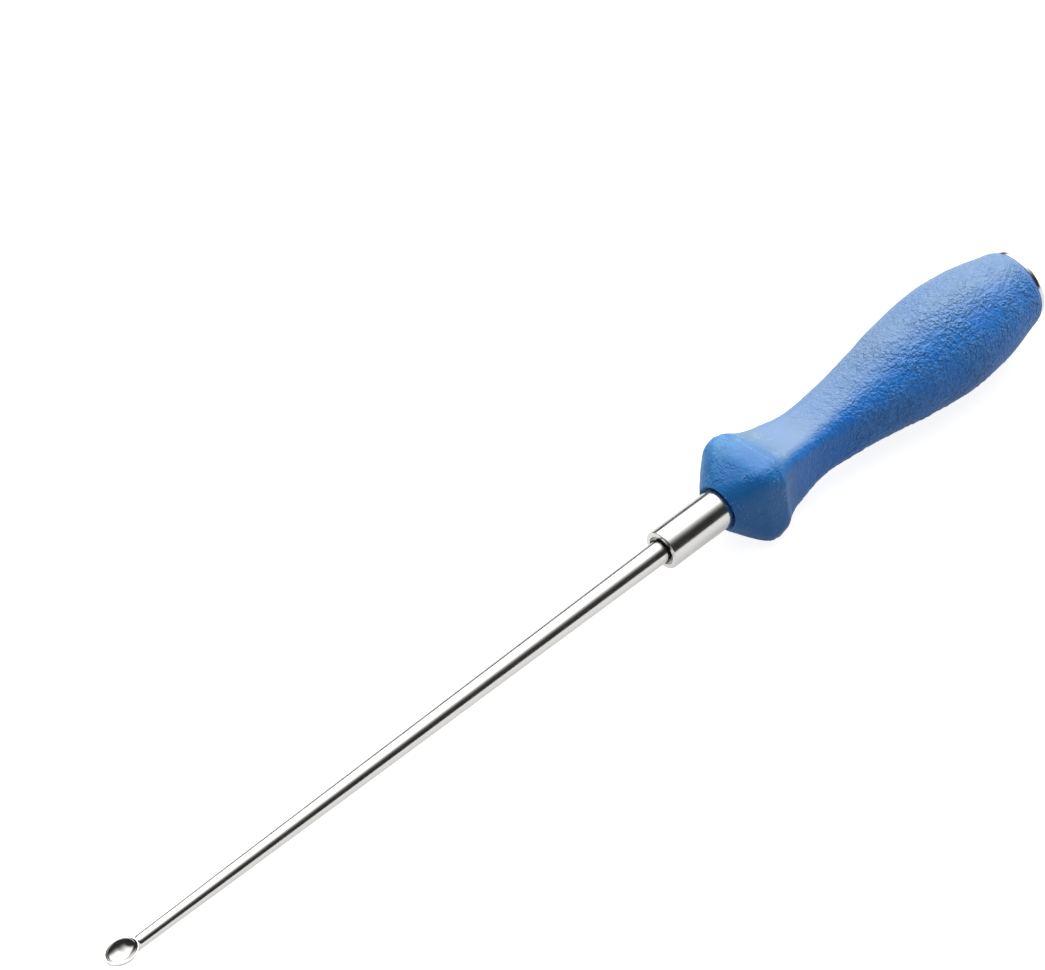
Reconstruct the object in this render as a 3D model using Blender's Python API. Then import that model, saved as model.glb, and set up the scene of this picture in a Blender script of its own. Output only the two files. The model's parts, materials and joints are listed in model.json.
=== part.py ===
"""Straight bone curette: a forged steel spoon and shaft, a steel ferrule,
a moulded silicone grip and a steel strike plate.

The tool is modelled along its own axis (local +X, from the spoon towards the
butt, with x = 0 on the front face of the grip and local +Z out of the spoon's
mouth). A parent empty then lays it down as it rests: on the flat under the
guard and on the belly of the swell.
"""

from math import atan2, cos, pi, radians, sin, sqrt

import bmesh
import bpy
from mathutils import Matrix, Vector

MM = 0.001

# Fits
CLEARANCE = 0.3 * MM
SHOULDER_CLEARANCE = 0.3 * MM

# Spoon
CUP_LENGTH = 10.0 * MM
CUP_WIDTH = 8.3 * MM
CUP_DEPTH = 3.0 * MM
RIM_LAND = 0.16 * MM
CUP_FLOOR = 0.45 * MM
BOWL_CENTER_RISE = 1.2 * MM
RIM_PITCH = radians(8.0)
RIM_HEIGHT = 1.53 * MM
NECK_BLEND = 0.9 * MM
KEEL_LIFT = 0.45 * MM

# Shaft
NECK_RADIUS = 1.92 * MM
NECK_LENGTH = 4.0 * MM
ROOT_LENGTH = 30.0 * MM
ROOT_RADIUS = 2.2 * MM
SHAFT_RADIUS = 3.3 * MM
SHAFT_LENGTH = 196.0 * MM
TANG_FLATS = 5.2 * MM
TANG_FLATS_START = 20.0 * MM
TANG_END_GAP = 0.4 * MM

# Ferrule, whose rear end sits FERRULE_SEAT deep in the dished nose of the grip
FERRULE_RADIUS = 5.7 * MM
FERRULE_LENGTH = 21.0 * MM
FERRULE_MOUTH_RADIUS = 4.35 * MM
FERRULE_MOUTH_DEPTH = 2.2 * MM
FERRULE_FRONT_ROUND = 0.35 * MM
FERRULE_REAR_ROUND = 1.2 * MM
FERRULE_SEAT = 1.3 * MM
SPIGOT_RADIUS = 4.75 * MM
SPIGOT_LENGTH = 14.0 * MM

# Grip, as half widths across the flats at stations behind its front face
GRIP_LENGTH = 113.2 * MM
NOSE_HALF = 6.9 * MM
NOSE_ROUND = 0.8 * MM
GUARD_START_HALF = 8.8 * MM
GUARD_START_AT = 2.4 * MM
GUARD_CONE_HALF = 10.65 * MM
GUARD_CONE_AT = 5.0 * MM
GUARD_FRONT_HALF = 12.45 * MM
GUARD_FRONT_AT = 8.5 * MM
GUARD_LIP_HALF = 12.9 * MM
GUARD_LIP_AT = 11.0 * MM
GUARD_HALF = 13.08 * MM
GUARD_AT = 13.4 * MM
GUARD_EDGE_HALF = 12.45 * MM
GUARD_EDGE_AT = 14.9 * MM
GUARD_BACK_HALF = 11.25 * MM
GUARD_BACK_AT = 16.5 * MM
THROAT_HALF = 9.62 * MM
THROAT_AT = 21.5 * MM
WAIST_HALF = 8.25 * MM
FLARE_HALF = 9.55 * MM
BELLY_HALF = 14.25 * MM
SWELL_RADIUS = 15.5 * MM
HEEL_HALF = 14.6 * MM
SHOULDER_HALF = 11.85 * MM
BUTT_RADIUS = 11.0 * MM
BUTT_ROUND = 0.8 * MM
REST_LAND_DEPTH = 0.2 * MM

# Stations behind the throat, as shares of the grip's length
WAIST_SHARE = 0.292
FLARE_SHARE = 0.406
ROUND_SHARE = 0.548
BELLY_SHARE = 0.627
SWELL_SHARE = 0.760
HEEL_SHARE = 0.857
SHOULDER_SHARE = 0.966

# Share of each section's half width that its corner radius takes
NOSE_CORNER = 0.95
GUARD_FRONT_CORNER = 0.42
GUARD_LIP_CORNER = 0.44
GUARD_CORNER = 0.56
GUARD_EDGE_CORNER = 0.54
GUARD_BACK_CORNER = 0.44
THROAT_CORNER = 0.43
WAIST_CORNER = 0.55

# Strike plate
PLATE_RADIUS = 10.1 * MM
PLATE_THICKNESS = 1.3 * MM
PLATE_ROUND = 0.5 * MM
HUB_RADIUS = 6.0 * MM
HUB_LENGTH = 9.0 * MM
HUB_BORE_DEPTH = 8.0 * MM

# Facets
SHAFT_SIDES = 40
ROUND_SIDES = 56
GRIP_SIDES = 56
ARC_STEPS = 4
BOWL_SEGMENTS = 40
BOWL_RINGS = 24
CUP_STATIONS = 22
BLEND_STATIONS = 12
ROOT_STATIONS = 4
GRIP_STEP = 3.4 * MM
GUARD_STEP = 1.13 * MM
SHARP_EDGE = radians(32.0)
RAY_HALVINGS = 30

# Places along the tool's axis that follow from the sizes above
WAIST_AT = WAIST_SHARE * GRIP_LENGTH
FLARE_AT = FLARE_SHARE * GRIP_LENGTH
ROUND_AT = ROUND_SHARE * GRIP_LENGTH
BELLY_AT = BELLY_SHARE * GRIP_LENGTH
SWELL_AT = SWELL_SHARE * GRIP_LENGTH
HEEL_AT = HEEL_SHARE * GRIP_LENGTH
SHOULDER_AT = SHOULDER_SHARE * GRIP_LENGTH
FERRULE_FRONT_X = -FERRULE_LENGTH
SPIGOT_END_X = FERRULE_SEAT + SPIGOT_LENGTH
CUP_BACK_X = FERRULE_FRONT_X - SHAFT_LENGTH
CUP_REACH = CUP_LENGTH * cos(RIM_PITCH)
CUP_MIDDLE_X = CUP_BACK_X - CUP_REACH / 2.0
PLATE_BACK_X = GRIP_LENGTH + SHOULDER_CLEARANCE
PLATE_FACE_X = PLATE_BACK_X + PLATE_THICKNESS
HUB_FRONT_X = PLATE_BACK_X - HUB_LENGTH
HUB_BORE_END_X = HUB_FRONT_X + HUB_BORE_DEPTH
TANG_END_X = HUB_BORE_END_X - TANG_END_GAP


def clear_scene():
    for obj in list(bpy.data.objects):
        bpy.data.objects.remove(obj, do_unlink=True)


def make_material(name, color, metallic, roughness):
    material = bpy.data.materials.new(name)
    material.use_nodes = True
    shader = material.node_tree.nodes["Principled BSDF"]
    shader.inputs["Base Color"].default_value = (*color, 1.0)
    shader.inputs["Metallic"].default_value = metallic
    shader.inputs["Roughness"].default_value = roughness
    return material


# Curves


def smooth_curve(keys, x):
    """Value at x of a smooth curve through (place, value) keys that never overshoots them."""
    if x <= keys[0][0]:
        return keys[0][1]
    if x >= keys[-1][0]:
        return keys[-1][1]
    secants = [(b[1] - a[1]) / (b[0] - a[0]) for a, b in zip(keys, keys[1:])]
    slopes = [secants[0]]
    for before, after in zip(secants, secants[1:]):
        same_way = before * after > 0.0
        slopes.append(2.0 * before * after / (before + after) if same_way else 0.0)
    slopes.append(secants[-1])
    index = max(i for i, key in enumerate(keys[:-1]) if key[0] <= x)
    (x0, y0), (x1, y1) = keys[index], keys[index + 1]
    span = x1 - x0
    t = (x - x0) / span
    ease = t * t * (3.0 - 2.0 * t)
    rise = slopes[index] * t * (1.0 - t) ** 2 - slopes[index + 1] * t * t * (1.0 - t)
    return y0 + (y1 - y0) * ease + span * rise


def quarter_round(x, radius, edge, x_sign, outward_first):
    """Profile points (x, radius) round an outer edge of a turned piece at x."""
    points = []
    for step in range(ARC_STEPS + 1):
        angle = step / ARC_STEPS * pi / 2.0
        along = edge * (1.0 - cos(angle))
        drop = edge * (1.0 - sin(angle))
        points.append((x - x_sign * along, radius - drop))
    return points if outward_first else points[::-1]


# Meshes


def ring(x, radius_at, sides, center_z=0.0):
    """One closed section across the axis, with radius_at giving its radius at an angle."""
    points = []
    for side in range(sides):
        angle = 2.0 * pi * side / sides
        radius = radius_at(angle)
        points.append(Vector((x, radius * cos(angle), center_z + radius * sin(angle))))
    return points


def skin(name, rings, closed_loop=False, tip=None):
    """A closed mesh through rings of equal count, capped at its ends or closed on itself."""
    bm = bmesh.new()
    rows = [[bm.verts.new(point) for point in points] for points in rings]
    count = len(rows[0])
    pairs = list(zip(rows, rows[1:]))
    if closed_loop:
        pairs.append((rows[-1], rows[0]))
    for low, high in pairs:
        for side in range(count):
            after = (side + 1) % count
            bm.faces.new((low[side], low[after], high[after], high[side]))
    if not closed_loop:
        bm.faces.new(rows[-1])
        if tip is None:
            bm.faces.new(rows[0][::-1])
        else:
            point = bm.verts.new(tip)
            for side in range(count):
                bm.faces.new((point, rows[0][(side + 1) % count], rows[0][side]))
    bmesh.ops.recalc_face_normals(bm, faces=bm.faces)
    mesh = bpy.data.meshes.new(name)
    bm.to_mesh(mesh)
    bm.free()
    mesh.shade_smooth()
    mesh.set_sharp_from_angle(angle=SHARP_EDGE)
    obj = bpy.data.objects.new(name, mesh)
    bpy.context.scene.collection.objects.link(obj)
    return obj


def turned(name, profile, sides):
    """A hollow turned piece: its closed (x, radius) profile swung round the axis."""
    rings = [ring(x, lambda _angle, r=radius: r, sides) for x, radius in profile]
    return skin(name, rings, closed_loop=True)


def rod(name, profile, sides):
    """A solid turned piece through its (x, radius) profile."""
    rings = [ring(x, lambda _angle, r=radius: r, sides) for x, radius in profile]
    return skin(name, rings)


def box_between(name, low, high, matrix):
    bm = bmesh.new()
    bmesh.ops.create_cube(bm, size=1.0)
    size = [b - a for a, b in zip(low, high)]
    middle = [(a + b) / 2.0 for a, b in zip(low, high)]
    bmesh.ops.scale(bm, vec=size, verts=bm.verts)
    bmesh.ops.translate(bm, vec=middle, verts=bm.verts)
    bmesh.ops.transform(bm, matrix=matrix, verts=bm.verts)
    mesh = bpy.data.meshes.new(name)
    bm.to_mesh(mesh)
    bm.free()
    obj = bpy.data.objects.new(name, mesh)
    bpy.context.scene.collection.objects.link(obj)
    return obj


def cut(obj, cutter):
    modifier = obj.modifiers.new(cutter.name, "BOOLEAN")
    modifier.operation = "DIFFERENCE"
    modifier.solver = "EXACT"
    modifier.object = cutter
    cutter.hide_render = True
    cutter.display_type = "WIRE"


# Spoon and shaft


def shaft_radius(x):
    keys = [
        (CUP_BACK_X, NECK_RADIUS),
        (CUP_BACK_X + NECK_LENGTH, NECK_RADIUS),
        (CUP_BACK_X + NECK_LENGTH + ROOT_LENGTH, ROOT_RADIUS),
        (FERRULE_FRONT_X, SHAFT_RADIUS),
    ]
    return smooth_curve(keys, x)


def rim_frame():
    """Frame of the spoon's rim: origin at its middle, +X up the slope, +Z out of the mouth."""
    place = Matrix.Translation(Vector((CUP_MIDDLE_X, 0.0, RIM_HEIGHT)))
    return place @ Matrix.Rotation(-RIM_PITCH, 4, "Y")


def hull_distance(point, to_rim):
    """About how far a point lies outside the spoon's egg-shaped hull."""
    local = to_rim @ point
    along = local.x / (CUP_LENGTH / 2.0)
    across = local.y / (CUP_WIDTH / 2.0)
    down = local.z / CUP_DEPTH
    return (sqrt(along**2 + across**2 + down**2) - 1.0) * CUP_DEPTH


def neck_distance(point):
    """How far a point lies outside the neck, which thins and lifts as it runs into the hull."""
    inside = max(0.0, min(1.0, (CUP_BACK_X - point.x) / CUP_REACH))
    lift = KEEL_LIFT * (1.0 - cos(pi * inside))
    radius = shaft_radius(point.x) - lift
    return sqrt(point.y**2 + (point.z - lift) ** 2) - radius


def blank_distance(point, to_rim):
    """Hull and neck run together in a fillet."""
    hull = hull_distance(point, to_rim)
    neck = neck_distance(point)
    overlap = max(NECK_BLEND - abs(hull - neck), 0.0) / NECK_BLEND
    return min(hull, neck) - overlap**2 * NECK_BLEND / 4.0


def blank_ring(x, to_rim):
    """The blank's section at x, found along rays from its middle."""
    share = max(0.0, min(1.0, (CUP_MIDDLE_X - x) / (CUP_REACH / 2.0)))
    rim_z = RIM_HEIGHT + (x - CUP_MIDDLE_X) * sin(RIM_PITCH) / cos(RIM_PITCH)
    center_z = rim_z * share**2

    def radius_at(angle):
        low, high = 0.0, CUP_WIDTH
        for _halving in range(RAY_HALVINGS):
            middle = (low + high) / 2.0
            point = Vector((x, middle * cos(angle), center_z + middle * sin(angle)))
            if blank_distance(point, to_rim) < 0.0:
                low = middle
            else:
                high = middle
        return low

    return ring(x, radius_at, SHAFT_SIDES, center_z)


def tang_radius(angle, radius, flats):
    """Radius of a round bar with two flats, at an angle round it."""
    facing = abs(sin(angle))
    return min(radius, flats / 2.0 / facing) if facing > 0.0 else radius


def tang_rings(radius, flats, start, end):
    rings = []
    for x in (start, end):
        rings.append(ring(x, lambda angle: tang_radius(angle, radius, flats), SHAFT_SIDES))
    return rings


def build_shaft(material):
    to_rim = rim_frame().inverted()
    rings = []
    for station in range(1, CUP_STATIONS):
        turn = pi * station / CUP_STATIONS
        x = CUP_MIDDLE_X - CUP_REACH / 2.0 * cos(turn)
        rings.append(blank_ring(x, to_rim))
    for station in range(BLEND_STATIONS):
        x = CUP_BACK_X + NECK_LENGTH * (station / BLEND_STATIONS) ** 2
        rings.append(blank_ring(x, to_rim))
    for station in range(ROOT_STATIONS + 1):
        x = CUP_BACK_X + NECK_LENGTH + ROOT_LENGTH * station / ROOT_STATIONS
        radius = shaft_radius(x)
        rings.append(ring(x, lambda _angle, r=radius: r, SHAFT_SIDES))
    for x in (FERRULE_FRONT_X, TANG_FLATS_START):
        rings.append(ring(x, lambda _angle: SHAFT_RADIUS, SHAFT_SIDES))
    flats_start = TANG_FLATS_START + CLEARANCE
    rings += tang_rings(SHAFT_RADIUS, TANG_FLATS, flats_start, TANG_END_X)
    tip = rim_frame() @ Vector((-CUP_LENGTH / 2.0, 0.0, 0.0))
    shaft = skin("curette_shaft", rings, tip=tip)
    shaft.data.materials.append(material)

    reach = CUP_LENGTH
    low = (-reach, -reach, 0.0)
    high = (CUP_LENGTH / 2.0 + NECK_LENGTH, reach, reach)
    cut(shaft, box_between("rim_cutter", low, high, rim_frame()))
    cut(shaft, bowl_cutter())
    return shaft


def bowl_cutter():
    """An egg centred above the rim, so that the bowl's wall opens towards the rim."""
    bm = bmesh.new()
    bmesh.ops.create_uvsphere(bm, u_segments=BOWL_SEGMENTS, v_segments=BOWL_RINGS, radius=1.0)
    depth = CUP_DEPTH - CUP_FLOOR + BOWL_CENTER_RISE
    widening = 1.0 / sqrt(1.0 - (BOWL_CENTER_RISE / depth) ** 2)
    half_length = (CUP_LENGTH / 2.0 - RIM_LAND) * widening
    half_width = (CUP_WIDTH / 2.0 - RIM_LAND) * widening
    bmesh.ops.scale(bm, vec=(half_length, half_width, depth), verts=bm.verts)
    bmesh.ops.translate(bm, vec=(0.0, 0.0, BOWL_CENTER_RISE), verts=bm.verts)
    bmesh.ops.transform(bm, matrix=rim_frame(), verts=bm.verts)
    mesh = bpy.data.meshes.new("bowl_cutter")
    bm.to_mesh(mesh)
    bm.free()
    mesh.shade_smooth()
    obj = bpy.data.objects.new("bowl_cutter", mesh)
    bpy.context.scene.collection.objects.link(obj)
    return obj


# Ferrule


def build_ferrule(material):
    bore = SHAFT_RADIUS + CLEARANCE
    front = quarter_round(FERRULE_FRONT_X, FERRULE_RADIUS, FERRULE_FRONT_ROUND, -1.0, True)
    rear = quarter_round(FERRULE_SEAT, FERRULE_RADIUS, FERRULE_REAR_ROUND, 1.0, False)
    profile = [(FERRULE_FRONT_X, FERRULE_MOUTH_RADIUS)]
    profile += front
    profile += rear
    profile += [(FERRULE_SEAT, SPIGOT_RADIUS), (SPIGOT_END_X, SPIGOT_RADIUS)]
    profile += [(SPIGOT_END_X, bore)]
    profile += [(FERRULE_FRONT_X + FERRULE_MOUTH_DEPTH, bore)]
    profile += [(FERRULE_FRONT_X + FERRULE_MOUTH_DEPTH, FERRULE_MOUTH_RADIUS)]
    ferrule = turned("ferrule", profile, ROUND_SIDES)
    ferrule.data.materials.append(material)
    return ferrule


# Grip


def grip_keys():
    """Half widths of the grip across its flats, by their places."""
    return [
        (SHOULDER_CLEARANCE, NOSE_HALF),
        (SHOULDER_CLEARANCE + NOSE_ROUND, NOSE_HALF + NOSE_ROUND),
        (GUARD_START_AT, GUARD_START_HALF),
        (GUARD_CONE_AT, GUARD_CONE_HALF),
        (GUARD_FRONT_AT, GUARD_FRONT_HALF),
        (GUARD_LIP_AT, GUARD_LIP_HALF),
        (GUARD_AT, GUARD_HALF),
        (GUARD_EDGE_AT, GUARD_EDGE_HALF),
        (GUARD_BACK_AT, GUARD_BACK_HALF),
        (THROAT_AT, THROAT_HALF),
        (WAIST_AT, WAIST_HALF),
        (FLARE_AT, FLARE_HALF),
        (BELLY_AT, BELLY_HALF),
        (SWELL_AT, SWELL_RADIUS),
        (HEEL_AT, HEEL_HALF),
        (SHOULDER_AT, SHOULDER_HALF),
        (GRIP_LENGTH - BUTT_ROUND, BUTT_RADIUS),
        (GRIP_LENGTH, BUTT_RADIUS - BUTT_ROUND),
    ]


def grip_half(x):
    return smooth_curve(grip_keys(), x)


def grip_corner(x):
    """How round the grip's square section is: 1 is a circle."""
    keys = [
        (SHOULDER_CLEARANCE, NOSE_CORNER),
        (GUARD_FRONT_AT, GUARD_FRONT_CORNER),
        (GUARD_LIP_AT, GUARD_LIP_CORNER),
        (GUARD_AT, GUARD_CORNER),
        (GUARD_EDGE_AT, GUARD_EDGE_CORNER),
        (GUARD_BACK_AT, GUARD_BACK_CORNER),
        (THROAT_AT, THROAT_CORNER),
        (WAIST_AT, WAIST_CORNER),
        (ROUND_AT, 1.0),
    ]
    return smooth_curve(keys, x)


def rounded_square_radius(angle, half, corner):
    """Radius at an angle of a square with round corners."""
    turn = angle % (pi / 2.0)
    turn = min(turn, pi / 2.0 - turn)
    center = half * (1.0 - corner)
    if half * sin(turn) <= center * cos(turn):
        return half / cos(turn)
    radius = half * corner
    reach = center * (cos(turn) + sin(turn))
    return reach + sqrt(max(reach**2 - 2.0 * center**2 + radius**2, 0.0))


def grip_stations():
    """Stations along the grip: its key places, and steps between them."""
    keys = [place for place, _half in grip_keys()]
    stations = [keys[0]]
    for before, after in zip(keys, keys[1:]):
        step = GUARD_STEP if after <= THROAT_AT else GRIP_STEP
        pieces = max(1, round((after - before) / step))
        stations += [before + (after - before) * i / pieces for i in range(1, pieces + 1)]
    return stations


def build_grip(material):
    rings = []
    for x in grip_stations():
        half, corner = grip_half(x), grip_corner(x)
        section = lambda angle: rounded_square_radius(angle, half, corner)
        rings.append(ring(x, section, GRIP_SIDES))
    grip = skin("grip", rings)
    grip.data.materials.append(material)

    past = CLEARANCE
    spigot = SPIGOT_RADIUS + CLEARANCE
    hub = HUB_RADIUS + CLEARANCE
    seat_end = FERRULE_SEAT + SHOULDER_CLEARANCE
    seat = [(0.0, NOSE_HALF), (seat_end, FERRULE_RADIUS + CLEARANCE)]
    spigot_bore = [(0.0, spigot), (SPIGOT_END_X + CLEARANCE, spigot)]
    hub_bore = [(HUB_FRONT_X - CLEARANCE, hub), (GRIP_LENGTH + past, hub)]
    bore_radius = SHAFT_RADIUS + CLEARANCE
    bore_flats = TANG_FLATS + 2.0 * CLEARANCE
    bore_rings = tang_rings(bore_radius, bore_flats, TANG_FLATS_START - CLEARANCE, HUB_FRONT_X)
    round_bore = [(SPIGOT_END_X, bore_radius), (TANG_FLATS_START + CLEARANCE, bore_radius)]
    cut(grip, rod("ferrule_seat", seat, ROUND_SIDES))
    cut(grip, rod("spigot_bore", spigot_bore, ROUND_SIDES))
    cut(grip, rod("hub_bore", hub_bore, ROUND_SIDES))
    cut(grip, rod("round_bore", round_bore, SHAFT_SIDES))
    cut(grip, skin("tang_bore", bore_rings))
    cut(grip, rest_cutter())
    return grip


# Strike plate


def build_end_plate(material):
    bore = SHAFT_RADIUS + CLEARANCE
    back = quarter_round(PLATE_BACK_X, PLATE_RADIUS, PLATE_ROUND / 2.0, -1.0, True)
    face = quarter_round(PLATE_FACE_X, PLATE_RADIUS, PLATE_ROUND, 1.0, False)
    profile = [(HUB_FRONT_X, HUB_RADIUS), (PLATE_BACK_X, HUB_RADIUS)]
    profile += back
    profile += face
    plate = rod("end_plate", profile, ROUND_SIDES)
    plate.data.materials.append(material)
    bore_profile = [(HUB_FRONT_X - CLEARANCE, bore), (HUB_BORE_END_X, bore)]
    cut(plate, rod("plate_bore", bore_profile, SHAFT_SIDES))
    return plate


# Rest


def rest_line():
    """Slope of the floor under the tool, and its depth below the axis at the guard."""
    depth = GUARD_HALF - REST_LAND_DEPTH
    slope = max(
        (grip_half(x) - depth) / (x - GUARD_AT) for x in grip_stations() if x > ROUND_AT
    )
    return slope, depth


def rest_cutter():
    """Block under the guard whose top is the floor, for the land that the guard rests on."""
    slope, depth = rest_line()
    place = Matrix.Translation(Vector((GUARD_AT, 0.0, -depth)))
    frame = place @ Matrix.Rotation(atan2(slope, 1.0), 4, "Y")
    reach = GUARD_HALF
    low = (-reach, -reach, -reach)
    high = (reach, reach, 0.0)
    return box_between("rest_cutter", low, high, frame)


def lay_down(parts):
    """Parent the parts to an empty that puts the floor at z = 0, under the middle of the tool."""
    slope, _depth = rest_line()
    rest = bpy.data.objects.new("rest_frame", None)
    bpy.context.scene.collection.objects.link(rest)
    rest.rotation_euler = (0.0, -atan2(slope, 1.0), 0.0)
    for obj in list(bpy.data.objects):
        if obj is not rest:
            obj.parent = rest
    bpy.context.view_layer.update()
    depsgraph = bpy.context.evaluated_depsgraph_get()
    corners = []
    for part in parts:
        solid = part.evaluated_get(depsgraph)
        corners += [solid.matrix_world @ vertex.co for vertex in solid.data.vertices]
    ends = [corner.x for corner in corners]
    sides = [corner.y for corner in corners]
    middle_x = (min(ends) + max(ends)) / 2.0
    middle_y = (min(sides) + max(sides)) / 2.0
    rest.location = (-middle_x, -middle_y, -min(corner.z for corner in corners))
    bpy.context.view_layer.update()


def main():
    clear_scene()
    steel = make_material("polished_steel", (0.78, 0.78, 0.77), 1.0, 0.14)
    silicone = make_material("blue_silicone", (0.07, 0.22, 0.56), 0.0, 0.55)
    parts = [
        build_shaft(steel),
        build_ferrule(steel),
        build_grip(silicone),
        build_end_plate(steel),
    ]
    lay_down(parts)


main()
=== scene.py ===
"""Looks of the bone curette: polished steel, wrinkled blue silicone, studio and camera."""

import json
from math import atan2, cos, exp, pi, radians, sin, sqrt

import bmesh
import bpy
from mathutils import Matrix, Vector, noise


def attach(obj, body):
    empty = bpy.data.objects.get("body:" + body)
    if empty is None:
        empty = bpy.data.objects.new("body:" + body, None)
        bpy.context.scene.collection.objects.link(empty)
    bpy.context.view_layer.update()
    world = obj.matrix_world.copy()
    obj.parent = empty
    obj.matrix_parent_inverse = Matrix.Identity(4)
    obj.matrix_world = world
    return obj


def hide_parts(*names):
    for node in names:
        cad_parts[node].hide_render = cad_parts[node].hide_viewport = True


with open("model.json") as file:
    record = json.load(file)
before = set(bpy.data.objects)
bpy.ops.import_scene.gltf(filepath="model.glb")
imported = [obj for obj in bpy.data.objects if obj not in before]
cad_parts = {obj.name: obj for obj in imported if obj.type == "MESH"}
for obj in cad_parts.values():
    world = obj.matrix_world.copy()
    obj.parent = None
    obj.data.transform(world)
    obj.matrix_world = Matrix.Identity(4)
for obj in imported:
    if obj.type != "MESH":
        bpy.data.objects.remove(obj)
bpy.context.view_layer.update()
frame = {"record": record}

MM = 0.001

# Tool frame, from the strike plate's mount: origin on the grip's front face, +X towards the butt
PLATE_FACE_X = 114.8 * MM
strike = next(m for m in frame["record"]["mounts"] if m["name"] == "strike_face")
AXIS = Vector(strike["axis"]).normalized()
TOOL_ORIGIN = Vector(strike["pos_m"]) - AXIS * PLATE_FACE_X
TOOL = Matrix.Translation(TOOL_ORIGIN) @ Matrix.Rotation(-atan2(AXIS.z, AXIS.x), 4, "Y")

# Spoon
CUP_LENGTH = 10.0 * MM
CUP_WIDTH = 8.3 * MM
CUP_DEPTH = 3.0 * MM
RIM_LAND = 0.16 * MM
CUP_FLOOR = 0.45 * MM
BOWL_CENTER_RISE = 1.2 * MM
RIM_PITCH = radians(8.0)
RIM_HEIGHT = 1.53 * MM
NECK_BLEND = 0.9 * MM
KEEL_LIFT = 0.45 * MM

# Shaft
NECK_RADIUS = 1.92 * MM
NECK_LENGTH = 4.0 * MM
ROOT_LENGTH = 30.0 * MM
ROOT_RADIUS = 2.2 * MM
SHAFT_RADIUS = 3.3 * MM
SHAFT_LENGTH = 196.0 * MM
TANG_END_X = 112.1 * MM

# Ferrule
FERRULE_RADIUS = 5.7 * MM
FERRULE_LENGTH = 21.0 * MM
FERRULE_MOUTH_RADIUS = 4.35 * MM
FERRULE_MOUTH_DEPTH = 2.2 * MM
FERRULE_FRONT_ROUND = 0.35 * MM
FERRULE_REAR_ROUND = 1.2 * MM
FERRULE_SEAT = 1.3 * MM
SPIGOT_RADIUS = 4.75 * MM
SPIGOT_LENGTH = 14.0 * MM

# Places along the tool that follow from the sizes above
FERRULE_FRONT_X = -FERRULE_LENGTH
SPIGOT_END_X = FERRULE_SEAT + SPIGOT_LENGTH
CUP_BACK_X = FERRULE_FRONT_X - SHAFT_LENGTH
CUP_REACH = CUP_LENGTH * cos(RIM_PITCH)
CUP_MIDDLE_X = CUP_BACK_X - CUP_REACH / 2.0

# Grip in mm: half widths across the flats, and how round the corners are, by place
GRIP_FRONT_X = 0.3 * MM
GRIP_LENGTH = 113.2 * MM
GRIP_HALF_KEYS = [
    (0.3, 6.9), (1.1, 7.7), (2.4, 8.8), (5.0, 10.65), (8.5, 12.45), (11.0, 12.9), (13.4, 13.08),
    (14.9, 12.45), (16.5, 11.25), (21.5, 9.62), (33.05, 8.25), (45.96, 9.55), (70.98, 14.25),
    (86.03, 15.5), (97.01, 14.6), (109.35, 11.85), (112.4, 11.0), (113.2, 10.2),
]
GRIP_CORNER_KEYS = [
    (0.3, 0.95), (8.5, 0.42), (11.0, 0.44), (13.4, 0.56), (14.9, 0.54), (16.5, 0.44),
    (21.5, 0.43), (33.05, 0.55), (62.03, 1.0),
]
NOSE_HALF = 6.9 * MM
FIT = 0.3 * MM
SEAM = 0.06 * MM

# Marks of the mould on the grip: angle and height of each parting line, and pitches per mm
PARTING_LINES = ((45.0, 0.14 * MM), (225.0, 0.30 * MM))
PARTING_WIDTH = 0.28 * MM
FLASH_LEVEL = 0.55
FLASH_PITCH = 0.55
FINE_FLASH_PITCH = 1.9
UNEVEN_DEPTH = 0.09 * MM
UNEVEN_PITCH = 0.16

# Strike plate
PLATE_RADIUS = 10.1 * MM
PLATE_THICKNESS = 1.3 * MM
PLATE_ROUND = 0.5 * MM
BUTT_END_RADIUS = 10.05 * MM
HUB_RADIUS = 6.0 * MM
HUB_LENGTH = 9.0 * MM
PLATE_FACE_RINGS = (0.7, 0.4, 0.1)

# How fine the meshes are. Stations are places along the tool.
SHARP_EDGE = radians(35.0)
SHARP_CUT_EDGE = radians(30.0)
ROUND_STEPS = 8
SHAFT_SIDES = 112
CUP_STATIONS = 64
BLEND_STATIONS = 26
BLEND_CROWDING = 1.5
SHAFT_STATIONS = 40
SKIN_HALVINGS = 30
BOWL_BANDS = 72
TURNED_SIDES = 160
GRIP_SIDES = 204
GRIP_FINE_STEP = 0.16 * MM
GRIP_COARSE_STEP = 0.36 * MM
GRIP_FINE_FRONT_X = 1.3 * MM
GRIP_FINE_BACK_X = 112.0 * MM

# Angles in degrees beside a parting line, and how far from it the even ones stop
PARTING_OFFSETS = (-2.6, -1.9, -1.3, -0.8, -0.4, 0.0, 0.4, 0.8, 1.3, 1.9, 2.6)
PARTING_CLEARANCE = 3.2

# Camera, as the photograph is taken
IMAGE_WIDTH = 1045
IMAGE_HEIGHT = 970
SENSOR_WIDTH = 36.0
FAR_CLIP = 100.0
CAMERA_AZIMUTH = radians(-41.35)
CAMERA_ELEVATION = radians(41.70)
CAMERA_ROLL = radians(-4.96)
CAMERA_DISTANCE = 8.0
CAMERA_TARGET = TOOL_ORIGIN + Vector((-0.0585, 0.0, 0.001068))
PIXELS_PER_METRE = 3768.0
TARGET_PIXEL = (560.8, 616.5)


# Curves and meshes


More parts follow.
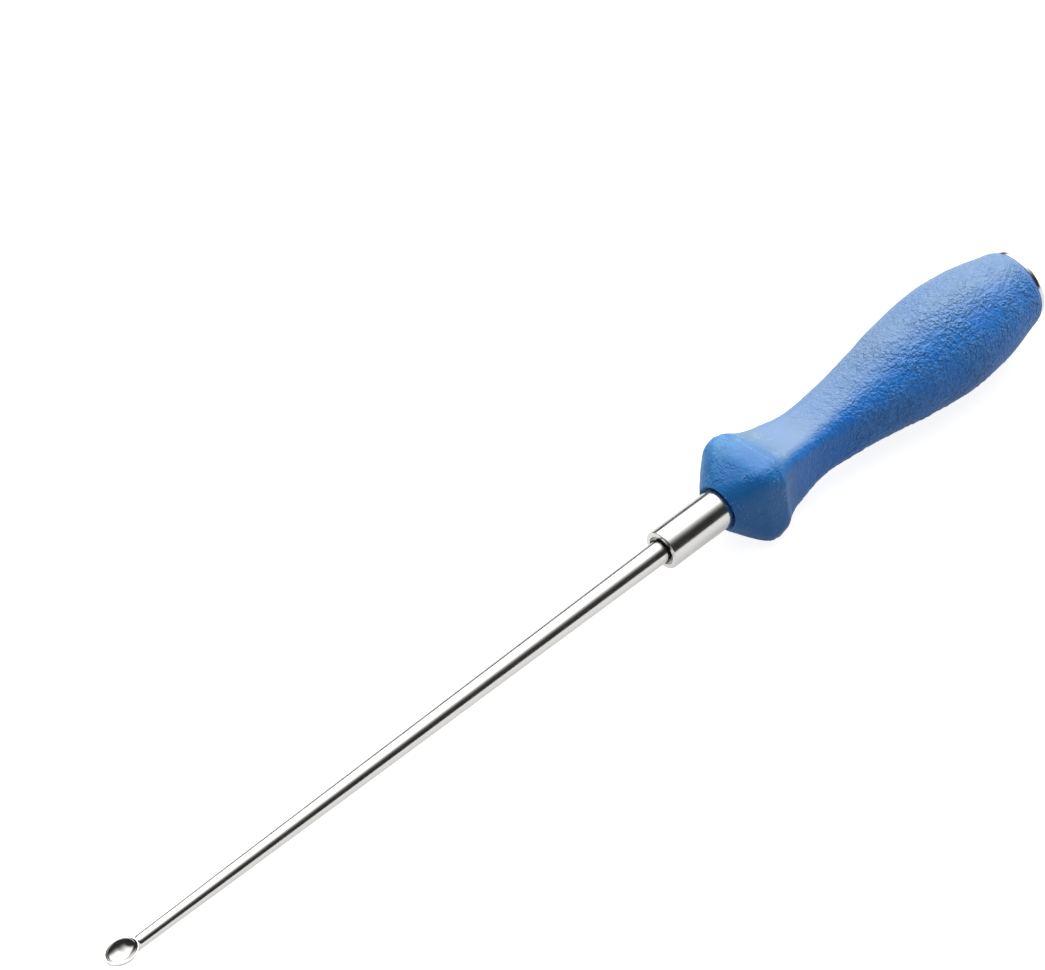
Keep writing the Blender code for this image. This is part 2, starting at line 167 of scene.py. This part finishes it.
def smooth_curve(keys, x):
    """Value at x of a smooth curve through (place, value) keys that never overshoots them."""
    if x <= keys[0][0]:
        return keys[0][1]
    if x >= keys[-1][0]:
        return keys[-1][1]
    secants = [(b[1] - a[1]) / (b[0] - a[0]) for a, b in zip(keys, keys[1:])]
    slopes = [secants[0]]
    for before, after in zip(secants, secants[1:]):
        same_way = before * after > 0.0
        slopes.append(2.0 * before * after / (before + after) if same_way else 0.0)
    slopes.append(secants[-1])
    index = max(i for i, key in enumerate(keys[:-1]) if key[0] <= x)
    (x0, y0), (x1, y1) = keys[index], keys[index + 1]
    span = x1 - x0
    t = (x - x0) / span
    ease = t * t * (3.0 - 2.0 * t)
    rise = slopes[index] * t * (1.0 - t) ** 2 - slopes[index + 1] * t * t * (1.0 - t)
    return y0 + (y1 - y0) * ease + span * rise


def quarter_round(x, radius, edge, x_sign, outward_first):
    """Profile points (x, radius) round an outer edge of a turned piece at x."""
    points = []
    for step in range(ROUND_STEPS + 1):
        angle = step / ROUND_STEPS * pi / 2.0
        along = edge * (1.0 - cos(angle))
        drop = edge * (1.0 - sin(angle))
        points.append((x - x_sign * along, radius - drop))
    return points if outward_first else points[::-1]


def ring(x, radius_at, angles, center_z=0.0):
    points = []
    for angle in angles:
        radius = radius_at(angle)
        points.append(Vector((x, radius * cos(angle), center_z + radius * sin(angle))))
    return points


def even_angles(sides):
    return [2.0 * pi * side / sides for side in range(sides)]


def skin(name, rings, closed_loop=False, tip=None):
    """A closed mesh through rings of equal count, capped at its ends or closed on itself."""
    bm = bmesh.new()
    rows = [[bm.verts.new(point) for point in points] for points in rings]
    count = len(rows[0])
    pairs = list(zip(rows, rows[1:]))
    if closed_loop:
        pairs.append((rows[-1], rows[0]))
    for low, high in pairs:
        for side in range(count):
            after = (side + 1) % count
            bm.faces.new((low[side], low[after], high[after], high[side]))
    if not closed_loop:
        bm.faces.new(rows[-1])
        if tip is None:
            bm.faces.new(rows[0][::-1])
        else:
            point = bm.verts.new(tip)
            for side in range(count):
                bm.faces.new((point, rows[0][(side + 1) % count], rows[0][side]))
    bmesh.ops.recalc_face_normals(bm, faces=bm.faces)
    return to_object(name, bm)


def to_object(name, bm):
    mesh = bpy.data.meshes.new(name)
    bm.to_mesh(mesh)
    bm.free()
    mesh.shade_smooth()
    mesh.set_sharp_from_angle(angle=SHARP_EDGE)
    obj = bpy.data.objects.new(name, mesh)
    bpy.context.scene.collection.objects.link(obj)
    return obj


def round_rings(profile, angles):
    """A full circle for each (x, radius) point of a profile."""
    return [ring(x, lambda _angle, r=radius: r, angles) for x, radius in profile]


def cut_away(obj, cutter):
    """Cut the cutter out of obj and bake the result into its mesh."""
    modifier = obj.modifiers.new("cut", "BOOLEAN")
    modifier.operation = "DIFFERENCE"
    modifier.solver = "EXACT"
    modifier.object = cutter
    depsgraph = bpy.context.evaluated_depsgraph_get()
    mesh = bpy.data.meshes.new_from_object(obj.evaluated_get(depsgraph))
    obj.modifiers.clear()
    obj.data = mesh
    bpy.data.objects.remove(cutter, do_unlink=True)


def dress(obj, material, node):
    """Lay a piece made in the tool's frame where the tool lies, in place of its CAD node."""
    obj.data.transform(TOOL)
    for vertex in obj.data.vertices:
        vertex.co.z = max(vertex.co.z, 0.0)
    obj.data.materials.clear()
    obj.data.materials.append(material)
    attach(obj, "root")
    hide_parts(node)
    return obj


# Spoon and shaft


def shaft_radius(x):
    keys = [
        (CUP_BACK_X, NECK_RADIUS),
        (CUP_BACK_X + NECK_LENGTH, NECK_RADIUS),
        (CUP_BACK_X + NECK_LENGTH + ROOT_LENGTH, ROOT_RADIUS),
        (FERRULE_FRONT_X, SHAFT_RADIUS),
    ]
    return smooth_curve(keys, x)


def rim_frame():
    place = Matrix.Translation(Vector((CUP_MIDDLE_X, 0.0, RIM_HEIGHT)))
    return place @ Matrix.Rotation(-RIM_PITCH, 4, "Y")


def hull_distance(point, to_rim):
    local = to_rim @ point
    along = local.x / (CUP_LENGTH / 2.0)
    across = local.y / (CUP_WIDTH / 2.0)
    down = local.z / CUP_DEPTH
    return (sqrt(along**2 + across**2 + down**2) - 1.0) * CUP_DEPTH


def neck_distance(point):
    inside = max(0.0, min(1.0, (CUP_BACK_X - point.x) / CUP_REACH))
    lift = KEEL_LIFT * (1.0 - cos(pi * inside))
    radius = shaft_radius(point.x) - lift
    return sqrt(point.y**2 + (point.z - lift) ** 2) - radius


def blank_distance(point, to_rim):
    hull = hull_distance(point, to_rim)
    neck = neck_distance(point)
    overlap = max(NECK_BLEND - abs(hull - neck), 0.0) / NECK_BLEND
    return min(hull, neck) - overlap**2 * NECK_BLEND / 4.0


def blank_ring(x, to_rim, angles):
    share = max(0.0, min(1.0, (CUP_MIDDLE_X - x) / (CUP_REACH / 2.0)))
    rim_z = RIM_HEIGHT + (x - CUP_MIDDLE_X) * sin(RIM_PITCH) / cos(RIM_PITCH)
    center_z = rim_z * share**2

    def radius_at(angle):
        low, high = 0.0, CUP_WIDTH
        for _halving in range(SKIN_HALVINGS):
            middle = (low + high) / 2.0
            point = Vector((x, middle * cos(angle), center_z + middle * sin(angle)))
            if blank_distance(point, to_rim) < 0.0:
                low = middle
            else:
                high = middle
        return low

    return ring(x, radius_at, angles, center_z)


def rim_cutter():
    """A block whose underside is the plane of the rim."""
    reach = CUP_LENGTH
    length = reach + CUP_LENGTH / 2.0 + NECK_LENGTH
    bm = bmesh.new()
    bmesh.ops.create_cube(bm, size=1.0)
    bmesh.ops.scale(bm, vec=(length, 2.0 * reach, reach), verts=bm.verts)
    bmesh.ops.translate(bm, vec=(length / 2.0 - reach, 0.0, reach / 2.0), verts=bm.verts)
    bmesh.ops.transform(bm, matrix=rim_frame(), verts=bm.verts)
    return to_object("rim_cutter", bm)


def bowl_cutter():
    """An ellipsoid with its middle over the rim, so that the bowl's wall opens upwards."""
    depth = CUP_DEPTH - CUP_FLOOR + BOWL_CENTER_RISE
    widening = 1.0 / sqrt(1.0 - (BOWL_CENTER_RISE / depth) ** 2)
    half_length = (CUP_LENGTH / 2.0 - RIM_LAND) * widening
    half_width = (CUP_WIDTH / 2.0 - RIM_LAND) * widening
    bm = bmesh.new()
    bmesh.ops.create_uvsphere(bm, u_segments=SHAFT_SIDES, v_segments=BOWL_BANDS, radius=1.0)
    bmesh.ops.scale(bm, vec=(half_length, half_width, depth), verts=bm.verts)
    bmesh.ops.translate(bm, vec=(0.0, 0.0, BOWL_CENTER_RISE), verts=bm.verts)
    bmesh.ops.transform(bm, matrix=rim_frame(), verts=bm.verts)
    return to_object("bowl_cutter", bm)


def make_shaft(material):
    angles = even_angles(SHAFT_SIDES)
    to_rim = rim_frame().inverted()
    rings = []
    for station in range(1, CUP_STATIONS):
        turn = pi * station / CUP_STATIONS
        x = CUP_MIDDLE_X - CUP_REACH / 2.0 * cos(turn)
        rings.append(blank_ring(x, to_rim, angles))
    for station in range(BLEND_STATIONS):
        x = CUP_BACK_X + NECK_LENGTH * (station / BLEND_STATIONS) ** BLEND_CROWDING
        rings.append(blank_ring(x, to_rim, angles))
    start = CUP_BACK_X + NECK_LENGTH
    profile = []
    for station in range(SHAFT_STATIONS + 1):
        x = start + (FERRULE_FRONT_X - start) * station / SHAFT_STATIONS
        profile.append((x, shaft_radius(x)))
    profile.append((TANG_END_X, SHAFT_RADIUS))
    rings += round_rings(profile, angles)
    tip = rim_frame() @ Vector((-CUP_LENGTH / 2.0, 0.0, 0.0))
    shaft = skin("spoon_and_shaft", rings, tip=tip)
    cut_away(shaft, rim_cutter())
    cut_away(shaft, bowl_cutter())
    shaft.data.set_sharp_from_angle(angle=SHARP_CUT_EDGE)
    return dress(shaft, material, "curette_shaft")


# Ferrule and strike plate


def make_ferrule(material):
    bore = SHAFT_RADIUS + FIT
    mouth_end = FERRULE_FRONT_X + FERRULE_MOUTH_DEPTH
    profile = [(FERRULE_FRONT_X, FERRULE_MOUTH_RADIUS)]
    profile += quarter_round(FERRULE_FRONT_X, FERRULE_RADIUS, FERRULE_FRONT_ROUND, -1.0, True)
    profile += quarter_round(FERRULE_SEAT, FERRULE_RADIUS, FERRULE_REAR_ROUND, 1.0, False)
    profile += [(FERRULE_SEAT, SPIGOT_RADIUS), (SPIGOT_END_X, SPIGOT_RADIUS), (SPIGOT_END_X, bore)]
    profile += [(mouth_end, bore), (mouth_end, FERRULE_MOUTH_RADIUS)]
    rings = round_rings(profile, even_angles(TURNED_SIDES))
    ferrule = skin("ferrule_sleeve", rings, closed_loop=True)
    return dress(ferrule, material, "ferrule")


def make_plate(material):
    back_x = PLATE_FACE_X - PLATE_THICKNESS
    profile = [(back_x - HUB_LENGTH, HUB_RADIUS), (back_x, HUB_RADIUS)]
    profile += quarter_round(back_x, PLATE_RADIUS, PLATE_ROUND / 2.0, -1.0, True)
    profile += quarter_round(PLATE_FACE_X, PLATE_RADIUS, PLATE_ROUND, 1.0, False)
    profile += [(PLATE_FACE_X, PLATE_RADIUS * share) for share in PLATE_FACE_RINGS]
    plate = skin("strike_plate", round_rings(profile, even_angles(TURNED_SIDES)))
    return dress(plate, material, "end_plate")


# Grip


def rounded_square_radius(angle, half, corner):
    """Radius at an angle of a square with round corners."""
    turn = angle % (pi / 2.0)
    turn = min(turn, pi / 2.0 - turn)
    center = half * (1.0 - corner)
    if half * sin(turn) <= center * cos(turn):
        return half / cos(turn)
    radius = half * corner
    reach = center * (cos(turn) + sin(turn))
    return reach + sqrt(max(reach**2 - 2.0 * center**2 + radius**2, 0.0))


def grip_angles():
    """Even angles round the grip, with closer ones along its two parting lines."""
    lines = [line for line, _height in PARTING_LINES]
    even = [360.0 * side / GRIP_SIDES for side in range(GRIP_SIDES)]
    kept = [turn for turn in even if all(abs(turn - line) > PARTING_CLEARANCE for line in lines)]
    kept += [line + offset for line in lines for offset in PARTING_OFFSETS]
    return [radians(turn) for turn in sorted(kept)]


def mould_marks(x, angle, radius):
    """How far the moulded skin stands out of the plain form: flash and a slight unevenness."""
    place = Vector((x, radius * cos(angle), radius * sin(angle))) / MM
    height = -UNEVEN_DEPTH * (0.5 + 0.5 * noise.noise(place * UNEVEN_PITCH))
    for line, flash in PARTING_LINES:
        across = (angle - radians(line)) * radius / PARTING_WIDTH
        ragged = FLASH_LEVEL + 0.5 * noise.noise(place * FLASH_PITCH)
        ragged += 0.5 * noise.noise(place * FINE_FLASH_PITCH)
        height += flash * max(ragged, 0.0) * exp(-across * across)
    return height


def grip_ring(x, angles):
    half = smooth_curve(GRIP_HALF_KEYS, x / MM) * MM
    corner = smooth_curve(GRIP_CORNER_KEYS, x / MM)

    def radius_at(angle):
        radius = rounded_square_radius(angle, half, corner)
        return radius + mould_marks(x, angle, radius)

    return ring(x, radius_at, angles)


def make_grip(material):
    angles = grip_angles()
    rings = []
    x = GRIP_FRONT_X
    while x < GRIP_LENGTH - GRIP_FINE_STEP / 2.0:
        rings.append(grip_ring(x, angles))
        near_end = x < GRIP_FINE_FRONT_X or x > GRIP_FINE_BACK_X
        x += GRIP_FINE_STEP if near_end else GRIP_COARSE_STEP
    rings.append(grip_ring(GRIP_LENGTH, angles))
    plate_back = PLATE_FACE_X - PLATE_THICKNESS
    hub_x = plate_back - HUB_LENGTH - FIT
    inner = [(plate_back - SEAM, BUTT_END_RADIUS), (plate_back - SEAM, HUB_RADIUS + FIT)]
    inner += [(hub_x, HUB_RADIUS + FIT), (hub_x, SHAFT_RADIUS + FIT)]
    inner += [(SPIGOT_END_X + FIT, SHAFT_RADIUS + FIT), (SPIGOT_END_X + FIT, SPIGOT_RADIUS + FIT)]
    inner += [(FERRULE_SEAT + FIT, SPIGOT_RADIUS + FIT), (FERRULE_SEAT + FIT, FERRULE_RADIUS + SEAM)]
    inner += [(FERRULE_SEAT - SEAM, FERRULE_RADIUS + SEAM), (GRIP_FRONT_X + SEAM, NOSE_HALF - FIT)]
    rings += round_rings(inner, angles)
    grip = skin("silicone_grip", rings, closed_loop=True)
    return dress(grip, material, "grip")


# Shader helpers


class Shader:
    """A node material with short ways to add and join its nodes."""

    def __init__(self, name):
        self.material = bpy.data.materials.new(name)
        self.material.use_nodes = True
        self.use_tree(self.material.node_tree, "Object")
        self.surface = self.nodes["Principled BSDF"]

    @classmethod
    def for_tree(cls, tree):
        """Helpers on a world's own node tree, whose coordinates are the directions out of it."""
        shader = cls.__new__(cls)
        shader.use_tree(tree, "Generated")
        return shader

    def use_tree(self, tree, coordinates):
        self.nodes = tree.nodes
        self.links = tree.links
        self.coords = self.nodes.new("ShaderNodeTexCoord").outputs[coordinates]
        split = self.nodes.new("ShaderNodeSeparateXYZ")
        self.links.new(self.coords, split.inputs["Vector"])
        self.along, self.side, self.up = split.outputs

    def join(self, value, socket):
        if isinstance(value, (int, float, tuple)):
            socket.default_value = value
        else:
            self.links.new(value, socket)

    def math(self, operation, first, second=0.0):
        node = self.nodes.new("ShaderNodeMath")
        node.operation = operation
        self.join(first, node.inputs[0])
        self.join(second, node.inputs[1])
        return node.outputs["Value"]

    def stretched(self, scale):
        """Object coordinates scaled along each axis."""
        node = self.nodes.new("ShaderNodeMapping")
        node.inputs["Scale"].default_value = scale
        self.links.new(self.coords, node.inputs["Vector"])
        return node.outputs["Vector"]

    def noise(self, vector, scale, detail=3.0, roughness=0.5):
        node = self.nodes.new("ShaderNodeTexNoise")
        node.inputs["Scale"].default_value = scale
        node.inputs["Detail"].default_value = detail
        node.inputs["Roughness"].default_value = roughness
        self.links.new(vector, node.inputs["Vector"])
        return node.outputs["Fac"]

    def span(self, value, from_low, from_high, to_low=0.0, to_high=1.0):
        """A smooth step between two values, mapped to a new range."""
        node = self.nodes.new("ShaderNodeMapRange")
        node.interpolation_type = "SMOOTHSTEP"
        self.join(value, node.inputs["Value"])
        node.inputs["From Min"].default_value = from_low
        node.inputs["From Max"].default_value = from_high
        node.inputs["To Min"].default_value = to_low
        node.inputs["To Max"].default_value = to_high
        return node.outputs["Result"]

    def mix(self, share, first, second):
        node = self.nodes.new("ShaderNodeMix")
        node.data_type = "RGBA"
        self.join(share, node.inputs["Factor"])
        self.join(first, node.inputs["A"])
        self.join(second, node.inputs["B"])
        return node.outputs["Result"]

    def bump(self, height, strength, distance):
        node = self.nodes.new("ShaderNodeBump")
        node.inputs["Strength"].default_value = strength
        node.inputs["Distance"].default_value = distance
        self.links.new(height, node.inputs["Height"])
        self.links.new(node.outputs["Normal"], self.surface.inputs["Normal"])


# Materials. Scales are noise cells per metre, and places are in metres in the world.

# Steel
STEEL_DARK = (0.725, 0.712, 0.692, 1.0)
STEEL_LIGHT = (0.805, 0.796, 0.776, 1.0)
STEEL_CLOUD_SCALE = 160.0
POLISH_LINE_SCALE = 2600.0
POLISH_LINE_STRETCH = (0.04, 1.0, 1.0)
POLISH_LINE_STRENGTH = 0.05
POLISH_LINE_DEPTH = 0.02 * MM
POLISH_ROUGHNESS = (0.11, 0.15)
SATIN_ALONG = (-0.164, -0.150)
SATIN_ROUGHNESS = 0.06

# Silicone: its colours
BLUE_DEEP = (0.016, 0.235, 0.830, 1.0)
BLUE_LIGHT = (0.026, 0.280, 0.910, 1.0)
# Painted shade: a darker blue for the guard's front.
GUARD_SHADE_BLUE = (0.014, 0.205, 0.620, 1.0)
# Painted light and shade on the grain: paler blue on the ridges, the base blue in the hollows.
LIT_RIDGE_BLUE = (0.09, 0.38, 0.95, 1.0)
# Painted light: a paler blue on the guard's lit left side.
GUARD_LEFT_LIGHT_COLOUR = (0.10, 0.37, 0.74, 1.0)
# Painted sheen with some dust: a pale grey on the sides that face the light.
SHEEN_AND_DUST_COLOUR = (0.38, 0.42, 0.26, 1.0)
CRUMB_COLOUR = (0.42, 0.64, 0.88, 1.0)

# Silicone: its grain and clouds
WARP_SCALE = 420.0
WARP_REACH = 1.2 * MM
CELL_SCALE = 860.0
WRINKLE_SCALE = 640.0
PATCH_SCALE = 95.0
CLOUD_SCALE = 70.0
MOTTLE_SCALE = 260.0
CRUMB_SCALE = 1500.0
CLUSTER_SCALE = 170.0
GRAIN_DEPTH = 0.62 * MM

# Silicone: where along, across and up the tool its finish and painted light change, and which way the
# painted sheen and dust face
GRAIN_ALONG = (0.078, 0.118)
GUARD_ALONG = (0.070, 0.082)
SHEEN_AND_DUST_ALONG = (0.066, 0.077)
GUARD_LEFT_LIGHT_ACROSS = (-0.003, 0.007)
CRUMBS_UP = (0.011, 0.020)
# Which way the painted sheen and dust face: up, back and to the butt, towards the light.
SHEEN_AND_DUST_DIRECTION = (0.40, 0.385, 0.832)
SHEEN_AND_DUST_FACING = (0.20, 0.88)


def steel_material():
    """Satin polish on the shaft and the ferrule, brighter polish on the spoon."""
    shader = Shader("polished_stainless")
    cloud = shader.noise(shader.coords, STEEL_CLOUD_SCALE, 4.0)
    lines = shader.noise(shader.stretched(POLISH_LINE_STRETCH), POLISH_LINE_SCALE, 2.0)
    tone = shader.mix(cloud, STEEL_DARK, STEEL_LIGHT)
    shader.join(tone, shader.surface.inputs["Base Color"])
    satin = shader.span(shader.along, *SATIN_ALONG, 0.0, SATIN_ROUGHNESS)
    rough = shader.math("ADD", shader.span(cloud, 0.3, 0.7, *POLISH_ROUGHNESS), satin)
    shader.join(rough, shader.surface.inputs["Roughness"])
    shader.surface.inputs["Metallic"].default_value = 1.0
    shader.bump(lines, POLISH_LINE_STRENGTH, POLISH_LINE_DEPTH)
    return shader.material


def warped(shader, scale, reach):
    """Object coordinates pushed about by a noise, so that cells lose their regular look."""
    push = shader.nodes.new("ShaderNodeTexNoise")
    push.inputs["Scale"].default_value = scale
    shader.links.new(shader.coords, push.inputs["Vector"])
    bend = shader.nodes.new("ShaderNodeVectorMath")
    bend.operation = "MULTIPLY_ADD"
    bend.inputs[1].default_value = (reach, reach, reach)
    shader.links.new(push.outputs["Color"], bend.inputs[0])
    shader.links.new(shader.coords, bend.inputs[2])
    return bend.outputs["Vector"]


def facing_sheen_and_dust(shader):
    """How squarely the surface faces up, back and to the butt, towards the light: where the painted
    sheen and fine dust lie.
    """
    facing = shader.nodes.new("ShaderNodeVectorMath")
    facing.operation = "DOT_PRODUCT"
    facing.inputs[1].default_value = SHEEN_AND_DUST_DIRECTION
    geometry = shader.nodes.new("ShaderNodeNewGeometry")
    shader.links.new(geometry.outputs["Normal"], facing.inputs[0])
    return facing.outputs["Value"]


def silicone_relief(shader, upper):
    """Height of the leathery wrinkle: deepest on the swell, and worn low where the painted sheen and
    dust lie.
    """
    bent = warped(shader, WARP_SCALE, WARP_REACH)
    cells = shader.nodes.new("ShaderNodeTexVoronoi")
    cells.feature = "DISTANCE_TO_EDGE"
    cells.inputs["Scale"].default_value = CELL_SCALE
    shader.links.new(bent, cells.inputs["Vector"])
    pebble = shader.span(cells.outputs["Distance"], 0.0, 0.34, 0.0, 0.42)
    wrinkle = shader.span(shader.noise(bent, WRINKLE_SCALE, 2.0, 0.6), 0.32, 0.68, 0.0, 0.78)
    grain = shader.math("ADD", pebble, wrinkle)
    behind_waist = shader.span(shader.along, *GRAIN_ALONG, 0.22, 1.0)
    patches = shader.span(shader.noise(shader.coords, PATCH_SCALE, 2.0), 0.36, 0.62, 0.45, 1.0)
    depth = shader.math("MULTIPLY", behind_waist, patches)
    worn = shader.span(upper, 0.0, 1.0, 1.25, 0.6)
    return shader.math("MULTIPLY", shader.math("MULTIPLY", grain, depth), worn)


def silicone_colour(shader, relief, upper, cloud):
    """Blue with painted shade on the guard, painted light and shade on the grain's ridges and hollows,
    painted light on the guard's left, painted sheen and dust on the sides facing the light, and fine
    crumbs.
    """
    coords = shader.coords
    on_guard = shader.span(shader.along, *GUARD_ALONG, 1.0, 0.0)
    blue = shader.mix(cloud, BLUE_DEEP, BLUE_LIGHT)
    # Painted shade: the guard takes a darker blue.
    blue = shader.mix(on_guard, blue, GUARD_SHADE_BLUE)
    # Painted light and shade on the grain: ridges paler, hollows deeper.
    ridge_light_share = shader.math("MULTIPLY", shader.span(relief, 0.15, 0.95), 0.55)
    ridged = shader.mix(ridge_light_share, blue, LIT_RIDGE_BLUE)

    # Painted light on the guard's left side, mottled.
    left = shader.math("MULTIPLY", on_guard, shader.span(shader.side, *GUARD_LEFT_LIGHT_ACROSS))
    mottle = shader.span(shader.noise(coords, MOTTLE_SCALE, 3.0), 0.38, 0.60, 0.18, 0.66)
    guard_left_lit = shader.mix(shader.math("MULTIPLY", left, mottle), ridged, GUARD_LEFT_LIGHT_COLOUR)

    # Painted sheen with some dust, on the sides that face the light.
    sheen_reach = shader.span(shader.along, *SHEEN_AND_DUST_ALONG, 0.15, 1.0)
    sheen_and_dust = shader.math("MULTIPLY", upper, shader.span(cloud, 0.30, 0.66, 0.42, 0.52))
    sheen_and_dusted = shader.mix(shader.math("MULTIPLY", sheen_and_dust, sheen_reach), guard_left_lit, SHEEN_AND_DUST_COLOUR)

    crumbs = shader.span(shader.noise(coords, CRUMB_SCALE, 1.0), 0.60, 0.67)
    clusters = shader.span(shader.noise(coords, CLUSTER_SCALE, 1.0), 0.46, 0.62)
    specks = shader.math("MULTIPLY", shader.math("MULTIPLY", crumbs, clusters), on_guard)
    specks = shader.math("MULTIPLY", specks, shader.span(shader.up, *CRUMBS_UP, 0.1, 0.7))
    return shader.mix(specks, sheen_and_dusted, CRUMB_COLOUR)


def silicone_material():
    """Matt blue silicone with a wrinkled grain, and gloss that varies a little."""
    shader = Shader("blue_silicone")
    # How squarely the surface faces the light: it places the painted sheen and dust, and lowers the
    # grain there.
    upper = shader.span(facing_sheen_and_dust(shader), *SHEEN_AND_DUST_FACING)
    relief = silicone_relief(shader, upper)
    shader.bump(relief, 1.0, GRAIN_DEPTH)
    cloud = shader.noise(shader.coords, CLOUD_SCALE, 3.0)
    colour = silicone_colour(shader, relief, upper, cloud)
    shader.join(colour, shader.surface.inputs["Base Color"])
    shader.join(shader.span(cloud, 0.3, 0.7, 0.38, 0.46), shader.surface.inputs["Roughness"])
    shader.surface.inputs["Specular IOR Level"].default_value = 0.45
    shader.surface.inputs["Sheen Weight"].default_value = 0.04
    shader.surface.inputs["Sheen Roughness"].default_value = 0.4
    return shader.material


# Floor
FLOOR_DARK = (0.39, 0.39, 0.39, 1.0)
FLOOR_LIGHT = (0.43, 0.43, 0.43, 1.0)
FLOOR_CLOUD_SCALE = 3.0
FLOOR_REACH = 6.0
GLOW_TO_CAMERA = 0.90
GLOW_TO_STEEL = 0.50

# Window of the room: its angles round the tool, and its edges by direction along the tool
SOFTBOX_RADIANCE = 3.6
SOFTBOX_FALLOFF = 1.4
ROOM_RADIANCE = 0.03
WINDOW_OPENS = (radians(16.0), radians(44.0))
WINDOW_CLOSES = (radians(63.0), radians(146.0))
WINDOW_FRONT_END = (-0.72, -0.45)
FRONT_FADE = (-0.10, 0.22)
FRONT_SHARE = 0.36
BACK_FADE = (0.84, 0.98)
BACK_SHARE = 0.08
LIGHT_MAP_SIZE = 1024

# Lamp overhead
FILL_PLACE = (0.45, -0.25, 1.25)
FILL_TARGET = (0.06, 0.0, 0.0)
FILL_SIZE = (1.2, 1.2)
FILL_RADIANCE = 0.42


def floor_material():
    """White to the eye and in the steel, and a plain pale surface to the light."""
    shader = Shader("pale_floor")
    cloud = shader.noise(shader.coords, FLOOR_CLOUD_SCALE, 2.0)
    tone = shader.mix(cloud, FLOOR_DARK, FLOOR_LIGHT)
    shader.join(tone, shader.surface.inputs["Base Color"])
    shader.surface.inputs["Roughness"].default_value = 0.9
    shader.surface.inputs["Specular IOR Level"].default_value = 0.0
    shader.surface.inputs["Emission Color"].default_value = (1.0, 1.0, 1.0, 1.0)
    path = shader.nodes.new("ShaderNodeLightPath")
    seen = shader.math("MULTIPLY", path.outputs["Is Camera Ray"], GLOW_TO_CAMERA)
    passed = shader.math("MAXIMUM", path.outputs["Is Glossy Ray"], path.outputs["Is Transmission Ray"])
    glow = shader.math("ADD", seen, shader.math("MULTIPLY", passed, GLOW_TO_STEEL))
    shader.join(glow, shader.surface.inputs["Emission Strength"])
    return shader.material


# Studio


def area_light(name, location, target, size, radiance):
    data = bpy.data.lights.new(name, "AREA")
    data.shape = "RECTANGLE"
    data.size, data.size_y = size
    data.energy = radiance * pi * size[0] * size[1]
    lamp = bpy.data.objects.new(name, data)
    lamp.location = location
    lamp.rotation_mode = "QUATERNION"
    lamp.rotation_quaternion = (Vector(target) - Vector(location)).to_track_quat("-Z", "Y")
    bpy.context.scene.collection.objects.link(lamp)
    return lamp


def make_floor():
    bm = bmesh.new()
    bmesh.ops.create_grid(bm, x_segments=1, y_segments=1, size=FLOOR_REACH)
    floor = to_object("floor", bm)
    floor.data.materials.append(floor_material())


def make_world():
    """A soft window in a dark room, and plain white to the camera."""
    world = bpy.data.worlds.new("studio")
    bpy.context.scene.world = world
    world.use_nodes = True
    shader = Shader.for_tree(world.node_tree)
    across = shader.math("ARCTAN2", shader.up, shader.side)
    opened = shader.span(across, *WINDOW_OPENS)
    closed = shader.span(across, *WINDOW_CLOSES, 1.0, 0.0)
    closed = shader.math("POWER", closed, SOFTBOX_FALLOFF)
    front_edge = shader.span(shader.along, *WINDOW_FRONT_END)
    from_front = shader.span(shader.along, *FRONT_FADE, FRONT_SHARE, 1.0)
    to_back = shader.span(shader.along, *BACK_FADE, 1.0, BACK_SHARE)
    window = shader.math("MULTIPLY", opened, closed)
    window = shader.math("MULTIPLY", window, front_edge)
    window = shader.math("MULTIPLY", window, from_front)
    window = shader.math("MULTIPLY", window, to_back)
    light = shader.math("MULTIPLY", window, SOFTBOX_RADIANCE)
    light = shader.math("ADD", light, ROOM_RADIANCE)
    path = shader.nodes.new("ShaderNodeLightPath")
    seen = path.outputs["Is Camera Ray"]
    hidden = shader.math("SUBTRACT", 1.0, seen)
    strength = shader.math("ADD", shader.math("MULTIPLY", light, hidden), seen)
    shader.join(strength, shader.nodes["Background"].inputs["Strength"])
    shader.nodes["Background"].inputs["Color"].default_value = (1.0, 1.0, 1.0, 1.0)
    world.cycles.sampling_method = "MANUAL"
    world.cycles.sample_map_resolution = LIGHT_MAP_SIZE


def make_fill():
    """A wide lamp that lights the silicone and doesn't show in the steel."""
    fill = area_light("overhead_fill", FILL_PLACE, FILL_TARGET, FILL_SIZE, FILL_RADIANCE)
    fill.visible_glossy = False


def make_camera():
    a, e = CAMERA_AZIMUTH, CAMERA_ELEVATION
    back = Vector((sin(a) * cos(e), -cos(a) * cos(e), sin(e)))
    data = bpy.data.cameras.new("camera")
    camera = bpy.data.objects.new("camera", data)
    bpy.context.scene.collection.objects.link(camera)
    camera.location = CAMERA_TARGET + back * CAMERA_DISTANCE
    camera.rotation_mode = "QUATERNION"
    look = (-back).to_track_quat("-Z", "Y").to_matrix().to_4x4()
    camera.rotation_quaternion = (look @ Matrix.Rotation(CAMERA_ROLL, 4, "Z")).to_quaternion()
    data.sensor_width = SENSOR_WIDTH
    data.lens = SENSOR_WIDTH * PIXELS_PER_METRE * CAMERA_DISTANCE / IMAGE_WIDTH
    data.shift_x = (IMAGE_WIDTH / 2.0 - TARGET_PIXEL[0]) / IMAGE_WIDTH
    data.shift_y = (TARGET_PIXEL[1] - IMAGE_HEIGHT / 2.0) / IMAGE_WIDTH
    data.clip_end = FAR_CLIP
    bpy.context.scene.camera = camera


steel = steel_material()
make_shaft(steel)
make_ferrule(steel)
make_plate(steel)
make_grip(silicone_material())
make_floor()
make_world()
make_fill()
make_camera()

bpy.context.scene.view_settings.view_transform = "Standard"
